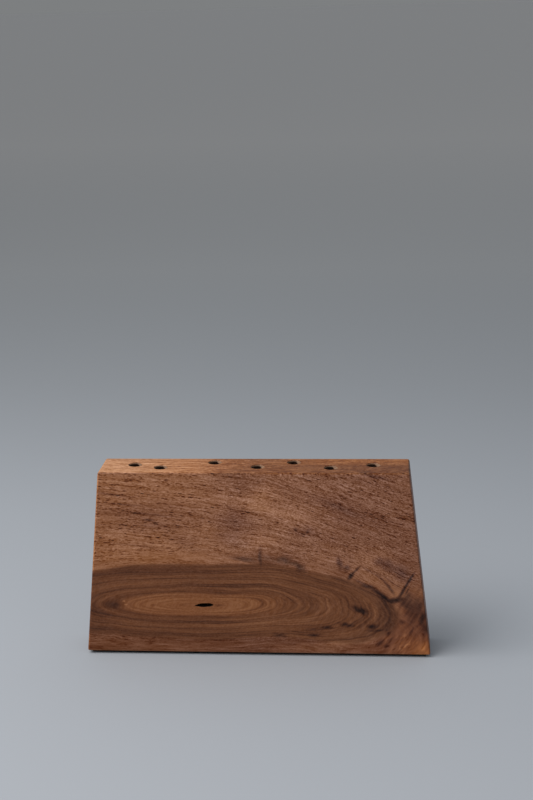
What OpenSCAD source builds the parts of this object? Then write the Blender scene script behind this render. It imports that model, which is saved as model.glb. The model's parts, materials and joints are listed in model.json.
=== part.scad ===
// Stem vase: one thick block of wood with slanted ends and seven drilled holes in its top.
// It stands on a thin felt sheet, which a film of adhesive holds under its foot.
// Millimetres. The origin is the middle of the felt's underside. +X runs along the length,
// -Y points out of the figured front face, and +Z is up.

/* [Block] */
// Length of the block along its foot
foot_len = 260; // [235:1:340]
// Length of the block along its top
top_len = 229; // [180:1:255]
// Height of the wood from foot to top
block_h = 143; // [125:1:220]
// Thickness of the block from front to back
block_t = 35; // [28:0.5:60]
// Radius of the sanded edges
edge_r = 1.4; // [0.5:0.1:4]

/* [Stem holes] */
// Diameter of the drill
hole_d = 10; // [6:0.5:12]
// Depth of each hole, from the top down to its flat floor
hole_depth = 90; // [40:1:115]
// Width of the sanded rim round each mouth
rim_chamfer = 0.4; // [0.1:0.1:1]
// Diameter of the pit that the drill's centre spur leaves in the floor
spur_pit_d = 3; // [1:0.5:5]
// Depth of that pit below the floor
spur_pit_depth = 1.6; // [0.5:0.1:4]

/* [Heart check] */
// Length of the open crack at the heart of the knot
check_len = 14.5; // [6:0.5:24]
// Height of the crack where it is widest
check_gap = 2.6; // [1:0.1:5]
// Tilt of the crack, in degrees, its right end up
check_tilt = 2; // [0:1:10]

/* [Felt] */
// Thickness of the felt sheet
felt_t = 2; // [1:0.1:5]
// Distance that the felt is set back from the edge of the foot
felt_inset = 3; // [1.5:0.5:6]
// Radius of the felt's corners
felt_corner_r = 3; // [1:0.5:8]
// Thickness of the adhesive film between the felt and the wood
film_t = 0.2; // [0.1:0.05:0.5]

/* [Hidden] */
$fn = 96;

// Extra length of a cutter past the face that it cuts
overrun = 1;
// Height of the wood's underside above the floor
foot_z = felt_t + film_t;

// Half lengths, and the slant of each end measured from upright
half_foot = foot_len / 2;
half_top = top_len / 2;
end_slant = atan2(half_foot - half_top, block_h);
slanted_side = 1 / cos(end_slant);

// The core is the block's front outline drawn in by the edge radius on every side
core_foot = half_foot - edge_r * (slanted_side + tan(end_slant));
core_top = half_foot - edge_r * slanted_side - (block_h - edge_r) * tan(end_slant);
core_low = edge_r;
core_high = block_h - edge_r;
core_y = block_t / 2 - edge_r;
// Sides of each rounded corner, a multiple of four so that the flat faces keep their places
corner_sides = 32;

// Places of the stem holes, as shares of the top's length and of the thickness
hole_x_shares = [-0.39, -0.302, -0.131, 0.013, 0.127, 0.249, 0.385];
hole_y_shares = [0.06, -0.12, 0.225, -0.07, 0.24, -0.12, 0.06];

// Place of the crack on the front face, as shares of the foot's length and of the height
check_x_share = -0.151;
check_z_share = 0.27;
check_x = check_x_share * foot_len;
check_z = check_z_share * block_h;
// Two equal balls whose common part is a lens as long and as high as the crack
check_ball_r = (pow(check_len, 2) + pow(check_gap, 2)) / (4 * check_gap);
check_ball_shift = check_ball_r - check_gap / 2;

// A ball of the edge radius, which has points exactly on its poles and round its equator
module corner_ball() {
    rotate_extrude($fn = corner_sides)
        intersection() {
            circle(r = edge_r, $fn = corner_sides);
            translate([0, -edge_r])
                square([edge_r, 2 * edge_r]);
        }
}

// The solid block before it is drilled, standing on its foot
module eased_block() {
    hull()
        for (x = [-1, 1], y = [-1, 1]) {
            translate([x * core_foot, y * core_y, core_low])
                corner_ball();
            translate([x * core_top, y * core_y, core_high])
                corner_ball();
        }
}

// What one drill takes out, hung from the block's top
module stem_hole() {
    translate([0, 0, -hole_depth])
        cylinder(d = hole_d, h = hole_depth + overrun);
    translate([0, 0, -rim_chamfer])
        cylinder(r1 = hole_d / 2, r2 = hole_d / 2 + rim_chamfer + overrun, h = rim_chamfer + overrun);
    translate([0, 0, -hole_depth - spur_pit_depth])
        cylinder(r1 = 0, r2 = spur_pit_d / 2, h = spur_pit_depth);
}

// The open crack at the heart of the knot: a lens that is sunk to its middle in the front face
module heart_check() {
    translate([check_x, -block_t / 2, check_z])
        rotate([0, -check_tilt, 0])
            intersection() {
                translate([0, 0, check_ball_shift])
                    sphere(r = check_ball_r);
                translate([0, 0, -check_ball_shift])
                    sphere(r = check_ball_r);
            }
}

// The felt's outline, which the adhesive film shares
module felt_outline() {
    felt_x = half_foot - felt_inset;
    felt_y = block_t / 2 - felt_inset;
    square([2 * felt_x, 2 * (felt_y - felt_corner_r)], center = true);
    square([2 * (felt_x - felt_corner_r), 2 * felt_y], center = true);
    for (x = [-1, 1], y = [-1, 1])
        translate([x * (felt_x - felt_corner_r), y * (felt_y - felt_corner_r)])
            circle(r = felt_corner_r);
}

module wood_block() {
    color([0.42, 0.26, 0.17])
        translate([0, 0, foot_z])
            difference() {
                eased_block();
                for (i = [0 : len(hole_x_shares) - 1])
                    translate([hole_x_shares[i] * top_len, hole_y_shares[i] * block_t, block_h])
                        stem_hole();
                heart_check();
            }
}

module adhesive_film() {
    color([0.85, 0.82, 0.70])
        translate([0, 0, felt_t])
            linear_extrude(height = film_t)
                felt_outline();
}

module felt_base() {
    color([0.05, 0.05, 0.06])
        linear_extrude(height = felt_t)
            felt_outline();
}

wood_block();
adhesive_film();
felt_base();
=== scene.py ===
# %% [markdown]
# # A stem vase in oiled walnut
# The real vase is one thick block of walnut. Its ends lean in, its edges are sanded round, and seven blind
# holes are drilled in its top. A thin black felt sheet is glued under its foot.
#
# The engineering model gives every size here, so this lesson starts by reading it. What the lesson adds is
# how the vase looks: edges, mouths and the open crack as real geometry, felt with its fibres, and above
# all the wood.

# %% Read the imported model
import json
import math
import random

import bmesh
import bpy
from mathutils import Matrix, Vector


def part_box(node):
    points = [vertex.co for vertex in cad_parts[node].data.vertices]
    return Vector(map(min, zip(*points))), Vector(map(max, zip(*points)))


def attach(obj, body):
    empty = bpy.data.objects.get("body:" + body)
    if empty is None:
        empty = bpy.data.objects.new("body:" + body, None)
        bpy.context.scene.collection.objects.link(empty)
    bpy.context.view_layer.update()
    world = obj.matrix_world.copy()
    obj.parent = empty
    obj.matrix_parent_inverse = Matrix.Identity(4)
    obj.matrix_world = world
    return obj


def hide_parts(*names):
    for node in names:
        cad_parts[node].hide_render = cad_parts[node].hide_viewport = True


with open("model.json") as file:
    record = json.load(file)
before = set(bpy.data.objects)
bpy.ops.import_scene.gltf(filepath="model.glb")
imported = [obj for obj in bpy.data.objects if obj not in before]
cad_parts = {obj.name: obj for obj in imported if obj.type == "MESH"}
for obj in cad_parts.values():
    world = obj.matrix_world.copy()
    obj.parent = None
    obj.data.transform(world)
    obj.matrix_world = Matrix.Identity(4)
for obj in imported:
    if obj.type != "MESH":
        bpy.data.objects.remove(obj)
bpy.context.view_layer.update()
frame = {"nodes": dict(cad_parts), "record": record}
MM = 0.001
TO_MM = 1000


def in_mm(lengths):
    """Lengths in metres as rounded millimetres, for printing."""
    return [round(length * TO_MM, 2) for length in lengths]


# %% [markdown]
# ## Sizes
# Nothing is measured twice. The block's height and thickness, the felt's place and the seven holes come
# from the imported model. Only what its box can't say is noted here: how far the foot and the top run before
# their corners are rounded, and how the edges and holes are worked.

# %% Note the sizes of the block and its holes
FOOT_LENGTH = 260 * MM
TOP_LENGTH = 229 * MM
EDGE_RADIUS = 1.4 * MM
RIM_CHAMFER = 0.4 * MM

block_low, block_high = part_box("wood_block")
felt_low, felt_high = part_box("felt_base")
THICKNESS = block_high.y - block_low.y
HEIGHT = block_high.z - block_low.z
FOOT_Z = block_low.z
TOP_Z = block_high.z
FRONT_Y = block_low.y
stem_holes = [mount for mount in frame["record"]["mounts"] if mount["kind"] == "bore"]
HOLE_RADIUS = stem_holes[0]["dims"]["r_mm"] * MM
HOLE_FLOOR_Z = stem_holes[0]["pos_m"][2] - stem_holes[0]["dims"]["length_mm"] * MM / 2
print(len(stem_holes), "holes, floor and top in mm:", in_mm((HOLE_FLOOR_Z, TOP_Z)))

# %% [markdown]
# ## Camera
# A photograph of a block gives its camera away: the lines that run along, across and up the block each
# meet at one point. From those the lens is 1465 pixels long in a picture of 533 by 800, and the camera
# looks down on the vase by 15 degrees, from a little to the right. Blender counts the lens on the
# picture's long side.

# %% Place the camera
LENS_PX = 1465.5
PICTURE_LONG_SIDE_PX = 800
SENSOR = 36
CLIP_START = 10 * MM
CAMERA_PITCH = math.radians(15.43)
CAMERA_YAW = math.radians(5.36)
CAMERA_ROLL = math.radians(-1.56)
CAMERA_DISTANCE = 4.12 * FOOT_LENGTH
CAMERA_AIM = Vector((0.0404 * FOOT_LENGTH, 0, FOOT_Z + 0.7438 * FOOT_LENGTH))


def direction(plan, rise):
    """The direction that lies this far round from +X on plan and this far above level."""
    return Vector((math.cos(plan) * math.cos(rise), math.sin(plan) * math.cos(rise), math.sin(rise)))


bpy.ops.object.select_all(action="DESELECT")
backward = direction(CAMERA_YAW - math.pi / 2, CAMERA_PITCH)
bpy.ops.object.camera_add(location=CAMERA_AIM + backward * CAMERA_DISTANCE)
camera = bpy.context.object
camera.rotation_mode = "QUATERNION"
level_turn = (-backward).to_track_quat("-Z", "Y")
camera.rotation_quaternion = Matrix.Rotation(CAMERA_ROLL, 4, backward).to_quaternion() @ level_turn
camera.data.sensor_width = SENSOR
camera.data.lens = LENS_PX * SENSOR / PICTURE_LONG_SIDE_PX
camera.data.clip_start = CLIP_START
bpy.context.scene.camera = camera
print("lens", round(camera.data.lens, 1), "mm, camera at", in_mm(camera.location))

# %% [markdown]
# ## Table and daylight
# The vase stands in a quiet room: one large soft window to the left, above the camera's shoulder, and a
# pale ceiling that fills the shadows. The table is one very wide sheet of grey paper. Behind the vase it is
# painted darker, as painted shade where the window's light falls off. Far away it has the tone of the room's
# walls, so no line shows where it ends.

# %% Lay the paper
PAPER_WIDTH = 120
PAPER_CUTS = 7


def deselect():
    """Leaves object mode and lets go of everything, so that the next operator acts on what it should."""
    if bpy.context.mode != "OBJECT":
        bpy.ops.object.mode_set(mode="OBJECT")
    bpy.ops.object.select_all(action="DESELECT")


def pick(piece):
    """Makes one piece the only one that is selected, and the active one."""
    deselect()
    piece.select_set(True)
    bpy.context.view_layer.objects.active = piece


def settle(piece):
    """Writes a piece's place, turn and size into its mesh."""
    pick(piece)
    bpy.ops.object.transform_apply(location=True, rotation=True, scale=True)


def select_where(piece, kind, test):
    """In edit mode, selects the faces or edges of a piece that pass a test.

    Edit mode goes by points here, so one that fails the test also lets go of the points that it shares with
    those before it.
    """
    bpy.ops.mesh.select_all(action="DESELECT")
    mesh = bmesh.from_edit_mesh(piece.data)
    for part in getattr(mesh, kind):
        part.select_set(test(part))
    bmesh.update_edit_mesh(piece.data)


deselect()
bpy.ops.mesh.primitive_plane_add(size=PAPER_WIDTH, location=(0, 0, 0))
paper = bpy.context.object
paper.name = "paper"
bpy.ops.object.mode_set(mode="EDIT")
bpy.ops.mesh.subdivide(number_cuts=PAPER_CUTS)
bpy.ops.object.mode_set(mode="OBJECT")
print("paper:", PAPER_WIDTH, "m wide")

# %% [markdown]
# ## Writing a material
# A material is a tree of small nodes, most of which do one step of arithmetic. Clicked together by hand, a
# hundred of them are hard to read. Here a helper adds one node per call and hands back what it puts out,
# so that a pattern reads as a formula does.

# %% Write nodes as formulas
MIX_VALUE_A = 2
MIX_VALUE_B = 3
MIX_COLOUR_A = 6
MIX_COLOUR_B = 7
MIX_COLOUR_RESULT = 2


class Recipe:
    """Adds nodes to one tree. An input is a number, a colour, a vector or what another node puts out."""

    def __init__(self, tree):
        self.tree = tree

    def feed(self, made, inputs):
        """Sets or links the inputs of a node, by their names or numbers."""
        for name, value in inputs.items():
            if isinstance(value, bpy.types.NodeSocket):
                self.tree.links.new(value, made.inputs[name])
            else:
                made.inputs[name].default_value = value

    def node(self, kind, inputs=None, **settings):
        """Adds one node with its settings and its inputs."""
        made = self.tree.nodes.new(kind)
        for name, value in settings.items():
            setattr(made, name, value)
        self.feed(made, inputs or {})
        return made

    def math(self, operation, *values):
        """One step of arithmetic, such as POWER or MAXIMUM."""
        return self.node("ShaderNodeMath", dict(enumerate(values)), operation=operation).outputs[0]

    def chain(self, operation, values):
        """Takes any number of values together by one operation, from the first to the last."""
        result = values[0]
        for value in values[1:]:
            result = self.math(operation, result, value)
        return result

    def product(self, *values):
        """The product of any number of values. Masks that are multiplied leave what lies in all of them."""
        return self.chain("MULTIPLY", values)

    def scaled(self, value, factor, offset=0.0):
        """value * factor + offset."""
        return self.math("MULTIPLY_ADD", value, factor, offset)

    def total(self, *terms):
        """The sum of any number of terms, of which (value, factor) or (value, factor, offset) is scaled."""
        return self.chain("ADD", [self.scaled(*term) if isinstance(term, tuple) else term for term in terms])

    def ease(self, value, start, end, low=0.0, high=1.0):
        """Goes softly from low to high while the value goes from start to end, and stays there beyond."""
        inputs = {"Value": value, "From Min": start, "From Max": end, "To Min": low, "To Max": high}
        made = self.node("ShaderNodeMapRange", inputs, interpolation_type="SMOOTHSTEP", clamp=False)
        return made.outputs["Result"]

    def blend(self, factor, first, second, mode="MIX"):
        """Mixes two colours."""
        inputs = {0: factor, MIX_COLOUR_A: first, MIX_COLOUR_B: second}
        made = self.node("ShaderNodeMix", inputs, data_type="RGBA", blend_type=mode)
        return made.outputs[MIX_COLOUR_RESULT]

    def tinted(self, colour, *tints):
        """A colour that is multiplied by tints, each of them where its mask is 1."""
        for mask, tint in tints:
            colour = self.blend(mask, colour, tint, "MULTIPLY")
        return colour

    def between(self, factor, first, second):
        """Mixes two values."""
        inputs = {0: factor, MIX_VALUE_A: first, MIX_VALUE_B: second}
        return self.node("ShaderNodeMix", inputs, data_type="FLOAT").outputs[0]

    def vector(self, x, y, z):
        """Puts three values together."""
        return self.node("ShaderNodeCombineXYZ", {0: x, 1: y, 2: z}).outputs[0]

    def parts(self, vector):
        """Takes a vector apart into its three values."""
        return self.node("ShaderNodeSeparateXYZ", {0: vector}).outputs[:3]

    def shift(self, operation, *values):
        """One step of arithmetic on vectors."""
        return self.node("ShaderNodeVectorMath", dict(enumerate(values)), operation=operation).outputs[0]

    def cells(self, place, x_size, y_size, z_size):
        """A place that is counted in cells of this size, so that a pattern of one bump per unit fits them."""
        return self.shift("MULTIPLY", place, (1 / x_size, 1 / y_size, 1 / z_size))

    def noise(self, place, sizes=(1, 1, 1), detail=1.0):
        """Soft random values, most of them between -1 and 1, with about one bump per cell of these sizes."""
        inputs = {"Vector": self.cells(place, *sizes), "Scale": 1.0, "Detail": detail}
        return self.scaled(self.node("ShaderNodeTexNoise", inputs).outputs["Fac"], 4.0, -2.0)

    def noise_vector(self, place):
        """Random colours round grey, which serve as random shifts."""
        inputs = {"Vector": place, "Scale": 1.0, "Detail": 2.0}
        return self.node("ShaderNodeTexNoise", inputs).outputs["Color"]

    def ramp(self, value, stops, interpolation="LINEAR"):
        """A colour ramp from (place, colour) stops, stretched to run from the first place to the last."""
        first, last = stops[0][0], stops[-1][0]
        inputs = {"Value": value, "From Min": first, "From Max": last}
        run = self.node("ShaderNodeMapRange", inputs, clamp=False).outputs["Result"]
        made = self.node("ShaderNodeValToRGB", {"Fac": run})
        made.color_ramp.interpolation = interpolation
        for _ in stops[2:]:
            made.color_ramp.elements.new(0.5)
        for element, (place, tone) in zip(made.color_ramp.elements, stops):
            element.position = (place - first) / (last - first)
            element.color = (*tone, 1) if isinstance(tone, tuple) else (tone, tone, tone, 1)
        return made.outputs["Color"]


def new_finish(name):
    """Starts a material and gives it with its recipe and its shader."""
    finish = bpy.data.materials.new(name)
    finish.use_nodes = True
    return finish, Recipe(finish.node_tree), finish.node_tree.nodes["Principled BSDF"]


def object_place(recipe):
    """Where a point of the piece lies, in metres."""
    return recipe.node("ShaderNodeTexCoord").outputs["Object"]


def surface(recipe, shader, colour, rough, shine, relief, strength, depth):
    """Gives a shader its colour, roughness and shine, and a relief of this strength and depth."""
    recipe.feed(shader, {"Base Color": colour, "Roughness": rough, "Specular IOR Level": shine})
    bump = recipe.node("ShaderNodeBump", {"Height": relief, "Strength": strength, "Distance": depth})
    recipe.feed(shader, {"Normal": bump.outputs["Normal"]})


print("the recipe helper is ready")

# %% Tone the paper
PAPER_ROUGH = 0.9
PAPER_SHINE = 0.1
# How far behind the vase, in metres, and the paper's colour there. The darker stops in the middle are
# painted shade where the window's light falls off.
PAPER_STOPS = (
    (-0.6, (0.330, 0.346, 0.374)),
    (0.3, (0.282, 0.298, 0.323)),
    (0.8, (0.232, 0.244, 0.261)),
    (1.6, (0.260, 0.268, 0.276)),
    (4.0, (0.373, 0.365, 0.361)),
)

paper_finish, recipe, shader = new_finish("backdrop paper")
far = recipe.parts(object_place(recipe))[1]
paper_tone_and_shade = recipe.ramp(far, PAPER_STOPS, "B_SPLINE")
recipe.feed(shader, {"Base Color": paper_tone_and_shade, "Roughness": PAPER_ROUGH, "Specular IOR Level": PAPER_SHINE})
paper.data.materials.append(paper_finish)
print("paper tones:", len(PAPER_STOPS))

# %% Hang the window and the room's own light
WINDOW_PLAN = math.radians(212)
WINDOW_RISE = math.radians(54)
WINDOW_DISTANCE = 1.7
WINDOW_SIZE = 1.3
WINDOW_WATTS = 32
WINDOW_TONE = (1.0, 0.985, 0.965)
WINDOW_AIM = Vector((0, 0, 70 * MM))
WALL_LIGHT = (0.205, 0.212, 0.216, 1)
CEILING_LIGHT = (0.72, 0.752, 0.784, 1)

deselect()
window_place = WINDOW_AIM + WINDOW_DISTANCE * direction(WINDOW_PLAN, WINDOW_RISE)
bpy.ops.object.light_add(type="AREA", location=window_place)
window = bpy.context.object
window.name = "window"
window.data.size = WINDOW_SIZE
window.data.energy = WINDOW_WATTS
window.data.color = WINDOW_TONE
window.rotation_mode = "QUATERNION"
window.rotation_quaternion = (WINDOW_AIM - window_place).to_track_quat("-Z", "Y")

room = bpy.data.worlds.new("room")
room.use_nodes = True
recipe = Recipe(room.node_tree)
look = recipe.node("ShaderNodeTexCoord").outputs["Generated"]
room_light = recipe.blend(recipe.parts(look)[2], WALL_LIGHT, CEILING_LIGHT)
recipe.feed(room.node_tree.nodes["Background"], {"Color": room_light})
bpy.context.scene.world = room
bpy.context.scene.view_settings.view_transform = "Standard"
print("window in mm:", in_mm(window_place), "with", WINDOW_WATTS, "W")

# %% [markdown]
# ## The block
# A cube is given the foot's size, its top face is drawn in along the length, and all its edges are beveled
# with the radius that sandpaper leaves. The faces between those edges must shade as flat. So once the
# block is drilled and cut it is smoothed by angle, and a Weighted Normal modifier lets the large faces
# rule.

# %% Shape the block
EDGE_STEPS = 6
ROUND = 0.5
FACING = 0.9

deselect()
bpy.ops.mesh.primitive_cube_add(size=1, location=(0, 0, FOOT_Z + HEIGHT / 2))
block = bpy.context.object
block.name = "walnut_block"
bpy.ops.transform.resize(value=(FOOT_LENGTH, THICKNESS, HEIGHT))
settle(block)
bpy.ops.object.mode_set(mode="EDIT")
select_where(block, "faces", lambda face: face.normal.z > FACING)
bpy.ops.transform.resize(value=(TOP_LENGTH / FOOT_LENGTH, 1, 1), center_override=(0, 0, TOP_Z))
bpy.ops.mesh.select_all(action="SELECT")
bpy.ops.mesh.bevel(offset=EDGE_RADIUS, segments=EDGE_STEPS, profile=ROUND, affect="EDGES")
bpy.ops.object.mode_set(mode="OBJECT")
print("block:", len(block.data.polygons), "faces")

# %% [markdown]
# ## Stem holes
# Each hole is what one drill leaves: a round wall, a flat floor, and a rim that was touched with
# sandpaper. So a cutter of that shape is made once, from a cylinder, and a copy of it is taken out of the
# block at each hole. The flare at its top is the rim's chamfer.

# %% Shape one cutter
CUTTER_SIDES = 64
CUTTER_RISE = 2 * MM

deselect()
cutter_height = TOP_Z + CUTTER_RISE - HOLE_FLOOR_Z
bpy.ops.mesh.primitive_cylinder_add(
    vertices=CUTTER_SIDES,
    radius=HOLE_RADIUS,
    depth=cutter_height,
    location=(0, 0, HOLE_FLOOR_Z + cutter_height / 2),
)
cutter = bpy.context.object
settle(cutter)
bpy.ops.object.mode_set(mode="EDIT")
bpy.ops.mesh.select_all(action="SELECT")
bpy.ops.mesh.bisect(plane_co=(0, 0, TOP_Z - RIM_CHAMFER), plane_no=(0, 0, 1))
# Three of the top's points stay behind, see select_where, so the chamfer has a small gap there.
select_where(cutter, "faces", lambda face: face.normal.z > FACING)
flare = (HOLE_RADIUS + RIM_CHAMFER + CUTTER_RISE) / HOLE_RADIUS
bpy.ops.transform.resize(value=(flare, flare, 1))
bpy.ops.object.mode_set(mode="OBJECT")
print("cutter:", len(cutter.data.vertices), "points")

# %% Drill the holes


def cut_out(piece, tool):
    """Cuts a closed mesh out of a piece, and throws it away."""
    pick(piece)
    cut = piece.modifiers.new("cut", "BOOLEAN")
    cut.operation = "DIFFERENCE"
    cut.solver = "EXACT"
    cut.object = tool
    bpy.ops.object.modifier_apply(modifier="cut")
    bpy.data.objects.remove(tool)


for hole in stem_holes:
    drill = cutter.copy()
    drill.data = cutter.data.copy()
    drill.data.transform(Matrix.Translation((hole["pos_m"][0], hole["pos_m"][1], 0)))
    bpy.context.scene.collection.objects.link(drill)
    cut_out(block, drill)
bpy.data.objects.remove(cutter)
print("drilled block:", len(block.data.polygons), "faces")

# %% [markdown]
# ## The open crack
# At the heart of the knot the wood has shrunk apart and left a small black gap. Painted on, it would stay
# flat when light falls in from the side, so it is cut. The cutter is a squashed ball with its left end
# drawn out to a point, and a Displace modifier with a cloud texture makes its sides as ragged as torn
# wood.

# %% Cut the crack at the heart
CRACK_PLACE = Vector((-0.151 * FOOT_LENGTH, FRONT_Y, FOOT_Z + 0.27 * HEIGHT))
CRACK_HALF = Vector((7.2 * MM, 6.0 * MM, 1.6 * MM))
CRACK_TILT = math.radians(-3)
CRACK_SPLINTER = 2.2 * MM
CRACK_RAGGED = 0.55 * MM
LEFT_TAPER, LEFT_CURVE = 0.62, 1.3
RIGHT_TAPER, RIGHT_CURVE = 0.25, 4
SMOOTH_BELOW = math.radians(32)
LARGE_FACES_RULE = 80


def roughen(piece, name, lump, height, middle=0.5):
    """Pushes a piece's surface in and out by soft lumps of this size and height."""
    pick(piece)
    lumps = bpy.data.textures.new(name, "CLOUDS")
    lumps.noise_scale = lump
    push = piece.modifiers.new("push", "DISPLACE")
    push.texture = lumps
    push.strength = height
    push.mid_level = middle
    bpy.ops.object.modifier_apply(modifier="push")


deselect()
bpy.ops.mesh.primitive_ico_sphere_add(subdivisions=5, radius=1)
gouge = bpy.context.object
bpy.ops.transform.resize(value=CRACK_HALF)
settle(gouge)
roughen(gouge, "torn wood", CRACK_SPLINTER, CRACK_RAGGED)
for point in gouge.data.vertices:
    share = point.co.x / CRACK_HALF.x
    slim = 1 - LEFT_TAPER * max(-share, 0) ** LEFT_CURVE - RIGHT_TAPER * max(share, 0) ** RIGHT_CURVE
    point.co.z *= slim
gouge.data.transform(Matrix.Translation(CRACK_PLACE) @ Matrix.Rotation(CRACK_TILT, 4, "Y"))
cut_out(block, gouge)

bpy.ops.object.shade_smooth_by_angle(angle=SMOOTH_BELOW)
weigh = block.modifiers.new("weigh", "WEIGHTED_NORMAL")
weigh.keep_sharp = True
weigh.weight = LARGE_FACES_RULE
bpy.ops.object.modifier_apply(modifier="weigh")
print("block with its crack:", len(block.data.polygons), "faces")

# %% [markdown]
# ## Felt
# The felt was cut with a blade from a pressed sheet, so its rims are soft and its side shows loose fibres.
# The sheet is a cube of the felt's box with beveled rims. A voxel Remesh gives it small even faces, and a
# Displace modifier pushes them in and out a little. The loose fibres are slim three-sided hairs that leave
# the side wall.

# %% Cut the felt sheet
felt_size = felt_high - felt_low

deselect()
bpy.ops.mesh.primitive_cube_add(size=1, location=(felt_low + felt_high) / 2)
felt = bpy.context.object
felt.name = "felt_sheet"
bpy.ops.transform.resize(value=felt_size)
settle(felt)
print("felt in mm:", in_mm(felt_size))

# %% Soften the felt
FELT_RIM = 0.45 * MM
RIM_STEPS = 3
LEVEL = 0.1 * MM
FELT_CELL = 0.6 * MM
FELT_LUMP = 1.4 * MM
FELT_LUMP_HEIGHT = 0.22 * MM
LUMP_MIDDLE = 0.65

pick(felt)
bpy.ops.object.mode_set(mode="EDIT")
select_where(felt, "edges", lambda edge: abs(edge.verts[0].co.z - edge.verts[1].co.z) < LEVEL)
bpy.ops.mesh.bevel(offset=FELT_RIM, segments=RIM_STEPS, profile=ROUND, affect="EDGES")
bpy.ops.object.mode_set(mode="OBJECT")
press = felt.modifiers.new("press", "REMESH")
press.mode = "VOXEL"
press.voxel_size = FELT_CELL
bpy.ops.object.modifier_apply(modifier="press")
roughen(felt, "felt lumps", FELT_LUMP, FELT_LUMP_HEIGHT, LUMP_MIDDLE)
for point in felt.data.vertices:
    point.co.z = min(max(point.co.z, felt_low.z), felt_high.z)
bpy.ops.object.shade_smooth()
print("soft felt:", len(felt.data.polygons), "faces")

# %% Shape one fibre
FIBRE_RADIUS = 0.018 * MM
FIBRE_SIDES = 3
FIBRE_TIP = 0.5
FIBRE_STEPS = 4

deselect()
bpy.ops.mesh.primitive_cone_add(
    vertices=FIBRE_SIDES,
    radius1=FIBRE_RADIUS,
    radius2=FIBRE_RADIUS * FIBRE_TIP,
    depth=1,
)
fibre = bpy.context.object
fibre.name = "felt_fibres"
bpy.ops.object.mode_set(mode="EDIT")
for step in range(1, FIBRE_STEPS):
    bpy.ops.mesh.select_all(action="SELECT")
    bpy.ops.mesh.bisect(plane_co=(0, 0, step / FIBRE_STEPS - 0.5), plane_no=(0, 0, 1))
bpy.ops.object.mode_set(mode="OBJECT")
fibre.data.transform(Matrix.Translation((0, 0, 0.5)))
print("one fibre:", len(fibre.data.polygons), "faces")

# %% Add the loose fibres
FIBRE_COUNT = 3200
FIBRE_LENGTH = (0.5 * MM, 1.7 * MM)
ROOT_DEPTH = 0.25 * MM
ROOT_HEIGHTS = (0.15, 0.85)
LEAN_ASIDE = 2.2
LEAN_UP = 0.5
FIBRE_BEND = 0.45
FIBRE_MARGIN = 0.03 * MM
CORNER_GAP = 3 * MM
FIBRE_SEED = 11
half_x = felt_size.x / 2 - CORNER_GAP
half_y = felt_size.y / 2 - CORNER_GAP


def side_spot():
    """A random spot on the felt's side wall, away from its corners, and the direction that the wall faces."""
    long_side = 2 * half_x
    short_side = 2 * half_y
    walk = random.uniform(0, 2 * (long_side + short_side))
    if walk < 2 * long_side:
        sign = 1 if walk < long_side else -1
        return Vector((walk % long_side - half_x, sign * (half_y + CORNER_GAP), 0)), Vector((0, sign, 0))
    walk -= 2 * long_side
    sign = 1 if walk < short_side else -1
    return Vector((sign * (half_x + CORNER_GAP), walk % short_side - half_y, 0)), Vector((sign, 0, 0))


random.seed(FIBRE_SEED)
tangle = bmesh.new()
for _ in range(FIBRE_COUNT):
    spot, outward = side_spot()
    spot.z = random.uniform(*ROOT_HEIGHTS) * felt_size.z
    length = random.uniform(*FIBRE_LENGTH)
    aside = outward.cross(Vector((0, 0, 1))) * random.uniform(-LEAN_ASIDE, LEAN_ASIDE)
    lean = (outward + aside + Vector((0, 0, random.uniform(-LEAN_UP, LEAN_UP)))).normalized()
    bend = Vector([random.uniform(-FIBRE_BEND, FIBRE_BEND) for _ in range(3)]) * length
    turn = lean.to_track_quat("Z", "Y").to_matrix()
    hair = fibre.data.copy()
    for point in hair.vertices:
        share = point.co.z
        point.co = turn @ Vector((point.co.x, point.co.y, share * length)) + bend * share * share
        point.co += spot - outward * ROOT_DEPTH
        point.co.z = min(max(point.co.z, FIBRE_MARGIN), felt_size.z - FIBRE_MARGIN)
    tangle.from_mesh(hair)
    bpy.data.meshes.remove(hair)
tangle.to_mesh(fibre.data)
tangle.free()
fibre.data.name = "felt_fibres"
pick(fibre)
bpy.ops.object.shade_smooth()
print("fibres:", len(fibre.data.polygons), "faces")

# %% [markdown]
# ## How the tree grew
# The figure of wood isn't a picture on its surface. Each line is a yearly layer, cut through where the saw
# went. This block was cut from the trunk where a branch left it, so its front shows a knot: the branch's
# own layers lie round its heart like nested cones, and a cut that runs almost along the branch shows them
# as long ovals.
#
# So the pattern is made as the tree made it, in the solid. A formula gives for any point of the block how
# far it is from the branch's heart, in millimetres of growth. The heart slants into the wood, so the
# layers come out at the block's end and on its back where they should. The trunk's own layers lie flat
# behind each other and bend round the knot, and over it their fibres come down towards the right. All
# faces, and also the walls of the holes, then show one and the same tree.

# %% Write a helper for node groups


def new_group(name, takes, gives):
    """Starts a node group with its inputs and outputs, and gives it with its recipe, inlet and outlet."""
    group = bpy.data.node_groups.new(name, "ShaderNodeTree")
    for way, sockets in (("INPUT", takes), ("OUTPUT", gives)):
        for label, kind in sockets.items():
            group.interface.new_socket(name=label, in_out=way, socket_type="NodeSocket" + kind)
    recipe = Recipe(group)
    return group, recipe, recipe.node("NodeGroupInput").outputs, recipe.node("NodeGroupOutput")


def use_group(recipe, group, inputs):
    """Places a group in a tree and gives its outputs."""
    return recipe.node("ShaderNodeGroup", inputs, node_tree=group).outputs


growth, recipe, inlet, outlet = new_group(
    "tree growth",
    {"Place": "Vector"},
    {
        **{name: "Float" for name in ("Ring", "Trunk", "Above", "Flank")},
        **{name: "Vector" for name in ("Grain", "Fibres", "Front")},
    },
)
print("growth group gives", len(outlet.inputs) - 1, "values")

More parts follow.
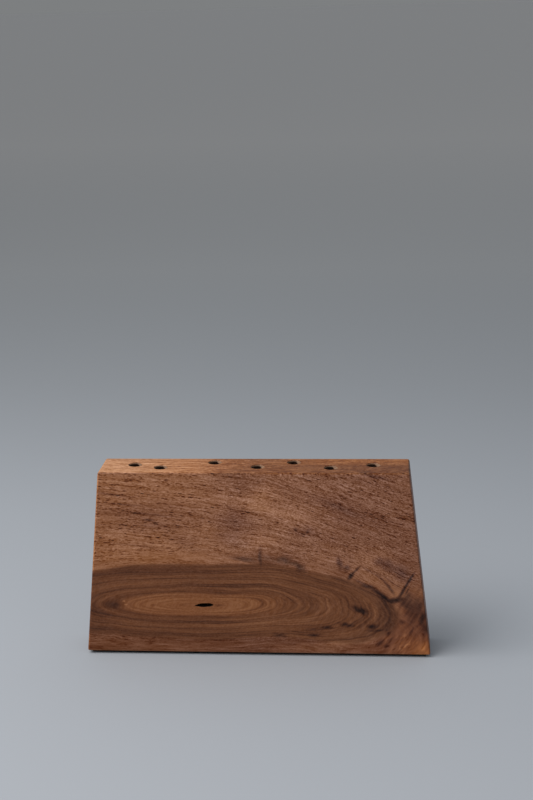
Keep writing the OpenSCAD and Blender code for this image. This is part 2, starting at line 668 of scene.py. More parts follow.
# %% Follow the branch from its heart outwards
HEART_X = -43
HEART_Z = 38.5
HEART_SLANT = 4.6
HEART_CLIMB = 2.2
HEART_DROP = 9
OVAL_REACH = 147
OVAL_HALF_HEIGHT = 31
OVAL_POINT = 1.36
INNER_POINT = 1.85
OUTER_POINT = 2
RIGHT_BLUNT = 0.45
LEFT_LEAN = -0.06
RIGHT_LEAN = 0.20
LEAN_LIMIT = 60
LEAN_SOFTNESS = 30
LARGE_WOBBLE = 0.8
SMALL_WOBBLE = 0.25

# From here on places are in mm: x from the block's middle, depth behind its front, z above its foot.
corner = (0, FRONT_Y * TO_MM, FOOT_Z * TO_MM)
front_place = recipe.shift("SUBTRACT", recipe.cells(inlet["Place"], MM, MM, MM), corner)
x, depth, z = recipe.parts(front_place)
x_cut = recipe.scaled(depth, -HEART_SLANT, x)
reach = recipe.scaled(recipe.math("ABSOLUTE", recipe.scaled(x_cut, 1, -HEART_X)), 1 / OVAL_REACH)
wide = recipe.scaled(recipe.math("POWER", reach, OVAL_POINT), OVAL_HALF_HEIGHT)
climb = recipe.ease(x_cut, -30, 20, 0, HEART_CLIMB)
drop = recipe.ease(x_cut, 45, 130, 0, -HEART_DROP)
rise = recipe.math("SUBTRACT", z, recipe.total(climb, drop, HEART_Z))
lean = recipe.ease(x_cut, 5, 75, LEFT_LEAN, RIGHT_LEAN)
lift = recipe.math("SMOOTH_MIN", recipe.math("ABSOLUTE", rise), LEAN_LIMIT, LEAN_SOFTNESS)
high = recipe.math("ABSOLUTE", recipe.scaled(lean, lift, rise))
rough_oval = recipe.math("SQRT", recipe.total(recipe.math("POWER", wide, 2), recipe.math("POWER", high, 2)))
blunt = recipe.ease(x_cut, HEART_X, 10, 0, RIGHT_BLUNT)
point = recipe.total(recipe.ease(rough_oval, 6, 26, INNER_POINT, OUTER_POINT), blunt)
power_sum = recipe.total(recipe.math("POWER", wide, point), recipe.math("POWER", high, point))
oval = recipe.math("POWER", power_sum, recipe.math("DIVIDE", 1, point))
wobble = recipe.total(
    (recipe.noise(front_place, (40, 22, 22)), LARGE_WOBBLE),
    (recipe.noise(front_place, (13, 7, 7)), SMALL_WOBBLE),
)
ring = recipe.scaled(wobble, recipe.ease(oval, 2, 16, 0.3, 1), oval)
print("growth group so far:", len(growth.nodes), "nodes")

# %% Lay the trunk's wood round the branch
KNOT_EDGE = 29.0
KNOT_EDGE_RIGHT = 31.4
TRUNK_SLOPE = 0.28
FIBRE_DIP = 1.5
FAR_TILT = 6
NEAR_TILT = 12
FIBRE_SLANT = 0.5

above = recipe.ease(rise, -24, 24)
far_tilt = recipe.product(recipe.ease(ring, 32, 60), recipe.ease(x, -150, -10, -FAR_TILT, FAR_TILT))
near_tilt = recipe.ease(x, -45, 35, 0, NEAR_TILT)
right_tilt = recipe.ease(x, 48, 130, 0, NEAR_TILT)
trunk_ring = recipe.scaled(recipe.total(far_tilt, near_tilt, right_tilt), above, ring)
along = recipe.scaled(z, -FIBRE_SLANT, x)
inward = recipe.scaled(recipe.noise(front_place, (34, 18, 18)), FIBRE_DIP, depth)
growth_values = {
    "Ring": ring,
    "Trunk": recipe.scaled(trunk_ring, TRUNK_SLOPE, depth),
    "Above": above,
    "Flank": recipe.ease(recipe.math("DIVIDE", high, ring), 0.2, 0.8),
    "Grain": recipe.vector(along, ring, inward),
    "Fibres": recipe.vector(along, trunk_ring, inward),
    "Front": front_place,
}
recipe.feed(outlet, growth_values)
print("growth group:", len(growth.nodes), "nodes")

# %% [markdown]
# ## Streaks and pores
# Between the yearly layers the wood still isn't even. Bands of tone run with the layers, and finer streaks
# follow the fibres. The cut vessels show as short dark grooves, the pores that walnut is known for, and
# the finest of them as dots. All of it is noise that is stretched along the grain: its place is read in
# millimetres along the fibre and across the layers. So the streaks bend round the knot by themselves, and
# on the block's ends, cut across, the pores are dots.

# %% Make streaks and pores a node group
streaks_group, recipe, inlet, outlet = new_group(
    "streaks and pores",
    {"Grain": "Vector", "Trunk": "Float"},
    {name: "Float" for name in ("Bands", "Streaks", "Speckle", "Pores", "Dots", "Rows")},
)
grain = inlet["Grain"]


def stretched(length, width, detail=1.0):
    """Noise with bumps of this length along the fibre and this width across it, in mm."""
    return recipe.noise(grain, (length, width, width), detail)


def vessels(length, width):
    """Cut vessels: dashes in cells of this length and width in mm, of which they fill about a third."""
    inputs = {"Vector": recipe.cells(grain, length, width, width), "Scale": 1.0}
    distance = recipe.node("ShaderNodeTexVoronoi", inputs).outputs["Distance"]
    reach = recipe.scaled(stretched(40, 1.8), 0.10, 0.33)
    return recipe.ease(recipe.math("DIVIDE", distance, reach), 1.0, 0.5)


band_along = recipe.scaled(recipe.parts(grain)[0], 1 / 110)
band_place = recipe.vector(band_along, recipe.scaled(inlet["Trunk"], 1 / 2.6), 0.0)
figure_values = {
    "Bands": recipe.noise(band_place, detail=2.0),
    "Streaks": recipe.total((stretched(42, 2.8), 0.45), (stretched(22, 1.0), 0.75)),
    "Speckle": recipe.total(stretched(2.0, 1.0, 2.0), (stretched(1.0, 0.8), 0.5)),
    "Pores": recipe.math("MAXIMUM", vessels(7.0, 1.1), recipe.scaled(vessels(3.8, 0.7), 0.75)),
    "Dots": recipe.total(stretched(0.95, 0.75), (stretched(1.7, 1.0), 0.5)),
    "Rows": stretched(50, 1.25),
}
recipe.feed(outlet, figure_values)
print("streak group:", len(streaks_group.nodes), "nodes")

# %% [markdown]
# ## Marks of this one block
# What makes one block unlike the next are its marks: dark smudges where the knot was bruised, small closed
# cracks round its edge, and a few streaks. Each of them is an oval that is laid on the front: its
# place, its half length and half height in millimetres, its turn in degrees and how much darker it is. A
# negative value makes a pale mark. Noise first shifts the place at which the ovals are read, so their
# edges fray. They fade within some millimetres of depth, so they wrap round an edge but don't come out on
# the back.

# %% List the marks
CLOUDS = (
    (-80, 113, 52, 9, -4, 0.09),
    (-85, 101, 42, 6, 0, 0.06),
    (-12, 137, 18, 8, 0, 0.06),
    (5, 124, 13, 10, 0, -0.08),
    (34, 110, 20, 9, 0, -0.05),
    (14, 112, 24, 15, -15, -0.065),
    (70, 114, 26, 9, -20, 0.06),
    (70, 94, 14, 6, 0, 0.02),
    (2, 76, 21, 5, 0, 0.09),
    (-14, 103, 15, 15, 0, 0.12),
    (-55, 91, 13, 6, 0, 0.08),
    (5, 88, 14, 7, 0, -0.08),
    (-75, 79, 60, 8, 0, -0.05),
    (-104, 71, 26, 5, 0, 0.04),
    (50, 76, 16, 11, 0, -0.06),
    (88, 60, 22, 12, -35, -0.11),
    (88, 79, 18, 8, -20, -0.08),
    (80, 14, 26, 8, 0, -0.07),
    (-80, 54, 30, 6, 0, -0.04),
    (5, 27, 34, 12, 0, -0.05),
    (-120, 28, 14, 14, 0, 0.07),
    (52, 4, 38, 4.5, 0, -0.10),
)
KNOT_MARKS = (
    (77.5, 36, 7.5, 2.8, -20, 0.24),
    (78.5, 34.7, 3.2, 1.6, -15, 0.12),
    (67.5, 24, 5.6, 1.8, -8, 0.26),
    (87, 22.7, 4.4, 1.7, 5, 0.24),
    (90, 19.6, 8, 1.3, 3, 0.16),
    (53, 21, 6, 1.3, 5, 0.24),
    (42, 19.6, 6.5, 1.1, 4, 0.20),
    (17.5, 14.8, 5.5, 1.8, 0, 0.20),
    (43, 14.8, 5, 1.7, 3, 0.22),
    (109, 26.5, 2.3, 2.1, 0, 0.22),
    (99, 17, 2.8, 1.2, 45, 0.20),
    (92.5, 9.5, 4, 2, 40, 0.24),
    (97, 7, 2.4, 1.4, 20, 0.18),
    (-106, 38.5, 8, 3.4, 0, 0.11),
    (-105, 38, 3.2, 1.8, 0, 0.05),
    (-78, 38, 2.2, 1, 0, 0.14),
    (-28, 38.5, 3, 1, 0, 0.10),
    (-100, 41, 1, 0.7, 0, -0.22),
    (-98.5, 38.5, 1.2, 0.7, 0, -0.20),
    (88.5, 33, 2.6, 9, 4, -0.08),
    (97, 33, 3.2, 12, 8, 0.07),
    (83, 42, 6, 1.6, -32, -0.06),
)
SIDE_MARKS = (
    (118, 35, 8, 13, 12, 0.22),
    (110, 42, 6, 3.5, -35, 0.18),
    (106, 37, 4, 2.6, -50, -0.08),
    (123, 36, 3.5, 12, 8, 0.16),
    (112, 47, 4, 5, 0, 0.12),
    (63, 73.5, 2.6, 5, 10, 0.24),
    (68, 69.5, 2.6, 3, 0, 0.22),
    (33, 70.5, 6.5, 3.4, -40, 0.22),
    (23, 74.5, 6, 4, -20, 0.18),
    (14, 76.5, 6, 2.6, -8, 0.06),
    (98, 72, 7.5, 4.2, -20, 0.20),
    (109, 65.5, 7.5, 5.2, -30, 0.20),
    (91, 75, 4, 3, -20, 0.16),
    (36, 97, 8.5, 4, 0, 0.08),
    (40, 98, 1.6, 1.4, 0, 0.18),
    (31, 99, 1.5, 1.2, 0, 0.16),
    (125.5, 4, 4.5, 6, 0, -0.18),
    (125.5, 22, 3.5, 11, 6, 0.14),
    (104, 12, 5, 1.6, 50, 0.12),
    (110, 17, 4, 1.2, 60, -0.10),
    (112, 8, 6.5, 0.9, 52, -0.20),
    (106.5, 5.5, 4.5, 0.9, 58, -0.12),
    (100.5, 12, 5, 1, 50, 0.12),
    (109, 11.5, 6, 1, 58, 0.13),
    (115.5, 19, 7, 1.1, 62, 0.12),
    (119, 9, 6, 1, 60, 0.10),
    (104.5, 39, 2.6, 3, 0, -0.05),
)
STREAK_MARKS = (
    (-105, 125.8, 14, 1.1, -7, 0.16),
    (-95, 118, 16, 1, -3, 0.12),
    (-78, 106, 4.5, 1.1, -5, 0.22),
    (-66, 101, 12, 2.8, -4, 0.07),
    (62, 117, 15, 2.4, -22, 0.08),
    (90, 140.5, 12, 1.4, -14, 0.16),
    (4.5, 78.5, 1.4, 8.5, 0, 0.17),
    (-9, 75.5, 9, 2.2, -8, 0.13),
    (62, 8.6, 26, 1.5, 2, -0.10),
    (88, 14, 9, 1.5, 40, -0.10),
    (-10, 73, 10.5, 0.8, -11, -0.10),
    (-88, 86, 20, 0.9, -5, 0.10),
    (-75, 110.5, 18, 1, -6, 0.10),
)
CRACK_MARKS = (
    (71.2, 63, 3.6, 1.7, 55, 0.40),
    (75.5, 68, 4, 1, 45, 0.32),
    (77.5, 58.4, 4.5, 1.1, -22, 0.20),
    (83, 55.2, 4.2, 1.8, -14, 0.32),
    (88.5, 52.6, 4.4, 2.4, -42, 0.24),
    (93, 48.6, 4, 2.4, -41, 0.27),
    (96.5, 45.4, 3.2, 1.9, -40, 0.28),
    (104.2, 44.2, 5.2, 2.3, 11, 0.42),
    (108, 48.5, 3, 1.3, 56, 0.34),
    (110.5, 53, 4.2, 1.3, 63, 0.36),
    (113.5, 58.5, 3.8, 1.2, 59, 0.32),
    (116.5, 63.5, 3.8, 1, 59, 0.28),
    (113, 52, 3.6, 0.7, 62, 0.20),
    (85, 67, 6.5, 1, -31, 0.16),
    (92.5, 62, 4.4, 1.1, -39, 0.17),
    (97, 57.5, 4.2, 1.2, -51, 0.20),
    (101, 52, 4.8, 1.3, -56, 0.27),
    (92.5, 64.5, 5.8, 0.6, -29, 0.14),
    (100, 59.5, 4.6, 0.6, -40, 0.14),
    (105.5, 55.5, 3.6, 0.6, -31, 0.14),
)
all_marks = CLOUDS + KNOT_MARKS + SIDE_MARKS + STREAK_MARKS + CRACK_MARKS
print(len(all_marks), "marks")

# %% Make the marks a node group
MARK_SPREAD = 1.35
MARK_PEAK = 1.5
MARK_DEPTH = 8
CLOUD_DEPTH = 20

marks_group, recipe, inlet, outlet = new_group("marks of the block", {"Front": "Vector"}, {"Dark": "Float"})


def frayed(size, reach):
    """The place on the front, shifted by noise of this size by up to this reach, both in mm."""
    cloud = recipe.noise_vector(recipe.cells(inlet["Front"], size, size, size))
    drift = recipe.shift("MULTIPLY", recipe.shift("SUBTRACT", cloud, (0.5, 0.5, 0.5)), (reach,) * 3)
    return recipe.shift("ADD", inlet["Front"], drift)


def lay_marks(marks, place, dark, fade=MARK_DEPTH):
    """Adds the ovals of one list, which fade out over this depth, to the darkness so far."""
    for x, z, half_length, half_height, turn, amount in marks:
        inputs = {
            "Vector": place,
            "Location": (x, 0, z),
            "Rotation": (0, -math.radians(turn), 0),
            "Scale": (half_length * MARK_SPREAD, fade, half_height * MARK_SPREAD),
        }
        oval = recipe.node("ShaderNodeMapping", inputs, vector_type="TEXTURE").outputs["Vector"]
        near = recipe.node("ShaderNodeTexGradient", {0: oval}, gradient_type="SPHERICAL").outputs["Fac"]
        dark = recipe.scaled(near, amount * MARK_PEAK, dark)
    return dark


dark = lay_marks(CLOUDS, frayed(20, 16), 0.0, CLOUD_DEPTH)
dark = lay_marks(KNOT_MARKS, frayed(4, 3), dark)
dark = lay_marks(SIDE_MARKS, frayed(6, 6), dark)
dark = lay_marks(STREAK_MARKS, frayed(9, 3), dark)
dark = lay_marks(CRACK_MARKS, frayed(3, 1.1), dark)
recipe.feed(outlet, {"Dark": dark})
print("marks group:", len(marks_group.nodes), "nodes")

# %% [markdown]
# ## Oiled walnut
# The material puts the groups together. Everything that makes the wood lighter or darker is added up as
# one number, the tone, and a colour ramp turns it into walnut's browns, from the black of a crack to the
# tan of the youngest wood. The knot and the trunk have a ramp each, because the trunk's wood is a little
# redder.

# %% Mix the browns


def linear(colour):
    """Turns a colour as a paint program shows it into the linear values that a shader wants."""
    values = (value / 255 for value in colour)
    return tuple(v / 12.92 if v <= 0.04045 else ((v + 0.055) / 1.055) ** 2.4 for v in values)


def tones(start, end, *colours):
    """Stops for a ramp, with these colours at even steps from start to end."""
    steps = len(colours) - 1
    return [(start + (end - start) * step / steps, linear(colours[step])) for step in range(steps + 1)]


KNOT_BROWNS = ((18, 10, 8), (58, 33, 24), (98, 58, 37), (128, 81, 53), (156, 108, 76), (190, 140, 106))
TRUNK_BROWNS = ((16, 10, 8), (52, 30, 22), (88, 50, 35), (119, 73, 50), (149, 98, 68), (188, 133, 95))
KNOT_TONES = tones(0, 1, *KNOT_BROWNS)
TRUNK_TONES = tones(0, 1, *TRUNK_BROWNS)
print(len(KNOT_TONES), "browns for the knot,", len(TRUNK_TONES), "for the trunk")

# %% Start the oiled walnut


def tree_wood(recipe):
    """Places the tree in a material: its growth, its figure, and the direction that the face looks in."""
    coordinates = recipe.node("ShaderNodeTexCoord").outputs
    tree = use_group(recipe, growth, {"Place": coordinates["Object"]})
    figure = use_group(recipe, streaks_group, {"Grain": tree["Fibres"], "Trunk": tree["Trunk"]})
    return tree, figure, recipe.parts(coordinates["Normal"])


walnut, recipe, shader = new_finish("oiled walnut")
nodes = walnut.node_tree.nodes
tree, figure, normal = tree_wood(recipe)
x, depth, z = recipe.parts(tree["Front"])
darkness = use_group(recipe, marks_group, {"Front": tree["Front"]})["Dark"]

# Masks go from 0 to 1. A number beside x, depth or z is a place in mm, and beside a normal it is a slope.
on_top = recipe.ease(normal[2], 0.8, 0.97)
top_and_rim = recipe.ease(normal[2], 0.05, 0.55)
# The rounded edge between the top and the front, which gets painted shade at the left.
top_rim_shade = recipe.product(recipe.ease(normal[2], 0.05, 0.3), recipe.ease(normal[2], 0.95, 0.8))
# Faces that look down, chiefly the foot's rounded rim, which get painted light as if from the floor.
facing_down_light = recipe.ease(normal[2], -0.05, -0.4)
on_end = recipe.ease(recipe.math("ABSOLUTE", normal[0]), 0.5, 0.9)
# Rounded edges on the left half that face left, towards the window: a painted highlight.
left_rim_highlight = recipe.product(recipe.ease(normal[0], -0.1, -0.4), recipe.ease(normal[0], -0.99, -0.9))
left_rim_highlight = recipe.product(left_rim_highlight, recipe.ease(x, 0, -90))
low = recipe.ease(z, 18, 7)
beside_knot = recipe.product(recipe.ease(x, 88, 104), recipe.ease(z, 64, 46))
print("nodes so far:", len(nodes))

# %% [markdown]
# The knot ends where the trunk's wood starts, at one of the branch's years, with a soft edge that blurs
# further inside the block. Close above it the trunk's wood is calm and a little grey, and at its right end
# it shows the band of bark that once lay between the two.

# %% Find the edge of the knot
EDGE_BULGE = 1.9
EDGE_SOFTNESS = 1.2
EDGE_BLUR = 0.12

bulge = recipe.product(recipe.ease(x, -112, -78), recipe.ease(x, 42, 5), tree["Above"])
edge = recipe.scaled(bulge, EDGE_BULGE, recipe.ease(x, 30, 72, KNOT_EDGE, KNOT_EDGE_RIGHT))
beyond = recipe.math("SUBTRACT", tree["Ring"], edge)
soft_edge = recipe.scaled(depth, EDGE_BLUR, EDGE_SOFTNESS)
in_knot = recipe.ease(recipe.math("DIVIDE", beyond, soft_edge), 1.0, -1.0)
close_above = recipe.product(recipe.ease(beyond, 12, 4), tree["Above"])
bark_band = recipe.product(recipe.ease(beyond, -5.5, -3.0), recipe.ease(x, 45, 85))
inner = recipe.ease(tree["Ring"], 14, 5)
print("nodes so far:", len(nodes))

# %% [markdown]
# Inside the knot the tone comes from a list of the branch's years: how far out each ring lies, in
# millimetres, and how pale it is. Hairlines and the thin dark lines of late wood lie between them. Left of
# the heart the rings are bolder.

# %% Colour the knot
KNOT_YEARS = (
    (0.0, 0.52),
    (4.5, 0.60),
    (7.4, 0.55),
    (8.2, 0.58),
    (10.3, 0.36),
    (11.6, 0.46),
    (12.8, 0.49),
    (14.8, 0.36),
    (16.0, 0.46),
    (18.6, 0.51),
    (20.2, 0.41),
    (21.2, 0.48),
    (23.2, 0.45),
    (25.2, 0.365),
    (27.6, 0.44),
    (29.0, 0.43),
    (31.5, 0.41),
    (34.0, 0.42),
)
INNER_TINT = (1.05, 0.98, 0.86, 1)
BARK_TINT = (0.94, 0.98, 1.08, 1)

years = recipe.parts(recipe.ramp(tree["Ring"], KNOT_YEARS, "CARDINAL"))[0]
years = recipe.between(recipe.ease(x, -25, 15), years, recipe.scaled(years, 0.45, 0.28))
hairlines = recipe.noise(tree["Grain"], (70, 0.8, 6), 2.0)
late_wood = recipe.noise(tree["Grain"], (90, 2.0, 8))
late_lines = recipe.ease(recipe.math("ABSOLUTE", late_wood), 0.22, 0.0)
knot_tone = recipe.total(
    years,
    recipe.product(late_lines, recipe.ease(x, -40, 10, -0.02, -0.085)),
    recipe.ease(x, -40, 10, 0.005, 0.025),
    (bark_band, -0.045),
    recipe.product(hairlines, recipe.ease(x, -90, 0, 0.07, 0.13)),
    (figure["Streaks"], 0.05),
    (inner, 0.045),
)
knot_wood = recipe.ramp(recipe.math("SUBTRACT", knot_tone, darkness), KNOT_TONES)
knot_wood = recipe.tinted(knot_wood, (inner, INNER_TINT), (bark_band, BARK_TINT))
print(len(KNOT_YEARS), "years in the knot")

# %% [markdown]
# The trunk's wood changes over the block: it is palest at the top left, yellow towards the left end and
# red low on the right, where it is cut almost across. The end faces took the oil darker. Other lines paint
# light and shade: the top is lighter at its left, towards the window, and darker to its right, partly its
# own tone and partly painted shade as if from stems in the holes; the rounded edges on the left get a
# painted highlight, the faces that look down get painted light, and the rounded top front edge at the left
# gets painted shade. Each line of the sum below is one such reason, with its change of tone.

# %% Tone the trunk's wood
UNDER_TONE = 0.52
SMEAR_TURN = math.radians(57)

over_tone = recipe.ease(x, -60, 110, 0.75, 0.63)
smear_inputs = {"Vector": tree["Front"], "Rotation": (0, SMEAR_TURN, 0)}
smear_place = recipe.node("ShaderNodeMapping", smear_inputs).outputs[0]
smears = recipe.noise(smear_place, (15, 4, 3.2), 2.0)
golden = recipe.product(recipe.ease(depth, 14, 29), recipe.ease(x, 0, 70), on_top)
trunk_tone = recipe.total(
    recipe.between(tree["Above"], UNDER_TONE, over_tone),
    (figure["Bands"], 0.04),
    recipe.product(smears, recipe.scaled(beside_knot, 0.15)),
    # Painted light on the top towards the window, and darker to the right: partly the wood's tone, partly
    # painted shade as if from stems in the holes.
    recipe.product(on_top, recipe.ease(x, -100, -32, 0.08, 0.0)),
    recipe.product(top_and_rim, recipe.ease(x, -62, 10, 0.0, -0.21)),
    # Painted shade on the rounded top front edge at the left.
    recipe.product(top_rim_shade, recipe.ease(x, 30, -40, 0.0, -0.13)),
    (golden, 0.17),
    # Painted light on the faces that look down.
    (facing_down_light, 0.22),
    (on_end, -0.12),
    # Painted highlight on the left rounded edges.
    (left_rim_highlight, 0.13),
    (beside_knot, 0.08),
    (low, 0.035),
)
print("nodes so far:", len(nodes))

# %% Colour the trunk's wood
TOP_LEFT_TINT = (1.0, 1.12, 1.2, 1)
TOP_RIGHT_TINT = (1.02, 0.86, 0.32, 1)

bruised = recipe.product(recipe.ease(darkness, 0.03, 0.25), close_above)
yellow = recipe.total(recipe.ease(x, 0, -70, 0, 0.8), recipe.ease(x, -95, -122, 0, 0.6))
red = recipe.product(recipe.ease(x, 50, 110), recipe.ease(z, 52, 20))
right_corner = recipe.product(recipe.ease(x, 102, 120), recipe.ease(z, 20, 6))
trunk_wood = recipe.ramp(recipe.math("SUBTRACT", trunk_tone, darkness), TRUNK_TONES)
trunk_wood = recipe.tinted(
    trunk_wood,
    (bruised, (0.93, 1.08, 1.16, 1)),
    (yellow, (1.0, 0.96, 0.82, 1)),
    (red, (1.05, 0.98, 0.94, 1)),
    # The painted highlight on the left edges is warmer too.
    (left_rim_highlight, (1.06, 1.0, 0.86, 1)),
    (right_corner, (1.1, 0.98, 0.72, 1)),
    (top_and_rim, recipe.blend(recipe.ease(x, -110, 20), TOP_LEFT_TINT, TOP_RIGHT_TINT)),
)
wood = recipe.blend(in_knot, trunk_wood, knot_wood)
print("nodes so far:", len(nodes))

# %% [markdown]
# Pores, dots and streaks come last. They are added to the colour as the eye sees it, which a Gamma node
# turns it to and back, so that a fleck looks equally strong on dark and on pale wood. Close to the knot
# and low down the wood is calmer, and the long dashes give way to fine dots towards the right.

# %% Add the flecks
DISPLAY_GAMMA = 2.2
LEAST_FLECKS = 0.25
FLECK_TINT = (0.58, 0.57, 0.60)
DARKEST = (0.05, 0.035, 0.03)

dotted = recipe.product(recipe.ease(x, -60, -10), recipe.ease(x, 140, 90))
pore_tone = recipe.product(recipe.scaled(figure["Rows"], 0.35, -0.44), recipe.scaled(dotted, -0.22, 1.0))
fine = recipe.total(
    (figure["Speckle"], 0.12),
    recipe.product(figure["Pores"], pore_tone),
    recipe.product(figure["Dots"], recipe.scaled(dotted, 0.11, 0.03)),
    (figure["Rows"], 0.05),
    0.085,
)
lively = recipe.total(
    (beside_knot, -0.65),
    (on_top, -0.35),
    (low, -0.7),
    (close_above, -0.5),
    1.0,
)
lively = recipe.product(recipe.math("MAXIMUM", lively, LEAST_FLECKS), recipe.scaled(tree["Flank"], 0.6, 0.4))
streak_share = recipe.total((beside_knot, -0.10), (on_top, 0.05), 0.15)
trunk_fleck = recipe.scaled(figure["Streaks"], streak_share, recipe.product(fine, lively))
fleck = recipe.between(in_knot, trunk_fleck, recipe.scaled(figure["Speckle"], 0.06))
fleck_colour = recipe.shift("MULTIPLY", recipe.vector(fleck, fleck, fleck), FLECK_TINT)
shown = recipe.node("ShaderNodeGamma", {"Color": wood, "Gamma": 1 / DISPLAY_GAMMA}).outputs[0]
flecked = recipe.shift("MAXIMUM", recipe.shift("ADD", shown, fleck_colour), DARKEST)
oiled_colour = recipe.node("ShaderNodeGamma", {"Color": flecked, "Gamma": DISPLAY_GAMMA}).outputs[0]
print("nodes so far:", len(nodes))

# %% [markdown]
# Oil leaves a satin skin: the light blurs on it, a little more on the pores, which are real grooves in the
# bump.

# %% Oil the walnut
OILED_ROUGH = 0.42
OILED_SHINE = 0.14
PORE_DEPTH = 0.06 * MM

rough = recipe.total((figure["Speckle"], 0.03, OILED_ROUGH), (figure["Pores"], 0.15))
grooves = recipe.total((figure["Pores"], -1.0), (figure["Speckle"], 0.15), (hairlines, 0.1))
surface(recipe, shader, oiled_colour, rough, OILED_SHINE, grooves, 0.5, PORE_DEPTH)
block.data.materials.append(walnut)
print("oiled walnut:", len(nodes), "nodes")

# %% [markdown]
# ## Drilled and torn wood
# The mouths of the holes, which the sandpaper reached, are pale, partly as raw wood and partly as painted
# light. On their right walls, which face the window, the painted light reaches further down. Below that the
# walls are painted near-black, the painted shade deep in a hole, and the drill burnished them smooth, with
# fine rings where the lip of the bit went round. The crack is different: nothing polished it, and it is
# painted almost black, the painted shade of a deep gap.

# %% Make the drilled walls
# Pale tones near the mouth are partly raw wood and partly painted light; the near-black tone below is painted
# shade inside the hole.
WALL_TONES = tones(0, 1, (76, 52, 40), (224, 180, 148))
HOLE_SHADE_TONE = (*linear((30, 18, 13)), 1)
LIP_RING = 0.35
PALE_MOUTH_DEPTH = (0.3, 1.7)
LIT_WALL_REACH = 2.4
BURNISHED_ROUGH = 0.24
BURNISHED_SHINE = 0.8
LIP_RING_DEPTH = 0.05 * MM

drilled, recipe, shader = new_finish("drilled walnut")
tree, figure, normal = tree_wood(recipe)
height = recipe.parts(tree["Front"])[2]
lip_rings = recipe.noise(recipe.vector(0.0, 0.0, recipe.scaled(height, 1 / LIP_RING)))
wall_tone = recipe.total((figure["Streaks"], 0.1, 0.5), (figure["Pores"], -0.3), (lip_rings, 0.08))
mouth = HEIGHT * TO_MM
# Walls that face left, towards the window, keep the painted light further down.
window_facing_wall = recipe.ease(normal[0], -0.05, -0.75)
lit_height = recipe.scaled(window_facing_wall, LIT_WALL_REACH, height)
pale_mouth_and_light = recipe.ease(lit_height, mouth - PALE_MOUTH_DEPTH[1], mouth - PALE_MOUTH_DEPTH[0])
wall_wood = recipe.blend(pale_mouth_and_light, HOLE_SHADE_TONE, recipe.ramp(wall_tone, WALL_TONES))
rough = recipe.scaled(figure["Pores"], 0.2, BURNISHED_ROUGH)
surface(recipe, shader, wall_wood, rough, BURNISHED_SHINE, lip_rings, 0.4, LIP_RING_DEPTH)
block.data.materials.append(drilled)
print("drilled walnut:", len(drilled.node_tree.nodes), "nodes")

# %% Make the inside of the crack
# Near-black tones: the painted shade inside a deep gap, with some torn fibres.
CRACK_SHADE_TONES = tones(-1, 1, (7, 5, 5), (26, 17, 13))
TORN_ROUGH = 0.9
TORN_SHINE = 0.1
SPLINTER_DEPTH = 0.2 * MM

torn_finish, recipe, shader = new_finish("torn walnut")
splinters = recipe.noise(object_place(recipe), (2.0 * MM, 0.8 * MM, 0.5 * MM), 3.0)
crack_shade_colour = recipe.ramp(splinters, CRACK_SHADE_TONES)
rough = recipe.scaled(splinters, 0.05, TORN_ROUGH)
surface(recipe, shader, crack_shade_colour, rough, TORN_SHINE, splinters, 0.6, SPLINTER_DEPTH)
block.data.materials.append(torn_finish)
print("torn walnut:", len(torn_finish.node_tree.nodes), "nodes")

# %% Give the hole walls and the crack their finishes
DRILLED_SLOT = 1
TORN_SLOT = 2
TORN_BEHIND = 0.02 * MM
TORN_BOX = Vector((1.5 * CRACK_HALF.x, 1.5 * CRACK_HALF.y, 4 * MM))


def in_hole(spot, hole):
    """Whether a spot lies inside a hole, below its rim."""
    aside = math.hypot(spot.x - hole["pos_m"][0], spot.y - hole["pos_m"][1])
    return aside < HOLE_RADIUS and spot.z < TOP_Z - RIM_CHAMFER


def in_crack(spot):
    """Whether a spot lies inside the crack, behind the front face."""
    away = spot - CRACK_PLACE
    return TORN_BEHIND < away.y < TORN_BOX.y and abs(away.x) < TORN_BOX.x and abs(away.z) < TORN_BOX.z


counts = [0, 0, 0]
for face in block.data.polygons:
    if any(in_hole(face.center, hole) for hole in stem_holes):
        face.material_index = DRILLED_SLOT
    if in_crack(face.center):
        face.material_index = TORN_SLOT
    counts[face.material_index] += 1
print("faces with oil, drilled and torn:", counts)

# %% [markdown]
# ## Finishes of the felt and its film
# Felt is matted wool that has no weave. Up close it is a tangle of fibres, some of them greyer than
# others, and it shines a little only where fibres stand away from it against the light, which the shader's
# sheen gives. The adhesive is a clear yellowish film, uneven by where the roller pressed it.

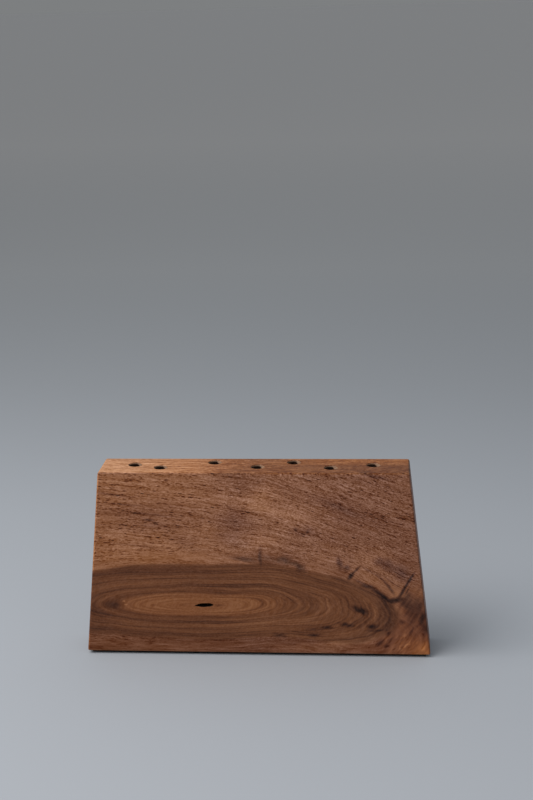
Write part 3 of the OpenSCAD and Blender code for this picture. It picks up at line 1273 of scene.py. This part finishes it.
# %% Make the black felt
WOOL_TONES = ((0.0, (0.0035, 0.0035, 0.004)), (1.0, (0.022, 0.0215, 0.023)))
WOOL_ROUGH = 0.93
WOOL_SHINE = 0.15
WOOL_SHEEN = 0.12
WOOL_SHEEN_ROUGH = 0.45
WOOL_DRIFT = 0.35
WOOL_TANGLE = 4.0
WOOL_DEPTH = 0.12 * MM

wool, recipe, shader = new_finish("black felt")
felt_place = recipe.cells(object_place(recipe), MM, MM, MM)
drift = recipe.noise_vector(recipe.shift("MULTIPLY", felt_place, (WOOL_DRIFT,) * 3))
tangled = recipe.shift("MULTIPLY_ADD", drift, (WOOL_TANGLE,) * 3, felt_place)
fibre_one = recipe.noise(tangled, (2.0, 0.25, 0.25), 2.0)
fibre_two = recipe.noise(tangled, (0.25, 2.0, 0.25), 2.0)
fibres = recipe.math("MAXIMUM", fibre_one, fibre_two)
lump_tone = recipe.noise(felt_place, (4, 4, 4), 2.0)
wool_tone = recipe.total((fibres, 0.35, 0.4), (lump_tone, 0.12))
wool_colour = recipe.ramp(wool_tone, WOOL_TONES)
rough = recipe.scaled(fibres, -0.05, WOOL_ROUGH)
surface(recipe, shader, wool_colour, rough, WOOL_SHINE, fibres, 0.7, WOOL_DEPTH)
recipe.feed(shader, {"Sheen Weight": WOOL_SHEEN, "Sheen Roughness": WOOL_SHEEN_ROUGH})
for piece in (felt, fibre):
    piece.data.materials.clear()
    piece.data.materials.append(wool)
print("black felt:", len(wool.node_tree.nodes), "nodes")

# %% Make the adhesive film
FILM_TONES = tones(-1, 1, (188, 178, 140), (214, 205, 170))

film, recipe, shader = new_finish("adhesive film")
rolled = recipe.noise(object_place(recipe), (12.5 * MM, 2 * MM, 2 * MM), 2.0)
rough = recipe.scaled(rolled, 0.08, 0.35)
recipe.feed(shader, {"Base Color": recipe.ramp(rolled, FILM_TONES), "Roughness": rough})
for slot in frame["nodes"]["adhesive_film"].material_slots:
    slot.material = film
print("film:", len(film.node_tree.nodes), "nodes")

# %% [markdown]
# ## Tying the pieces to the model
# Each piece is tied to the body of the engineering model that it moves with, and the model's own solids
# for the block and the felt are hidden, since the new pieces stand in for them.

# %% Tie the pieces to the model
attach(block, "root")
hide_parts("wood_block")
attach(felt, "root")
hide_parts("felt_base")
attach(fibre, "root")
print("pieces:", block.name, felt.name, fibre.name)
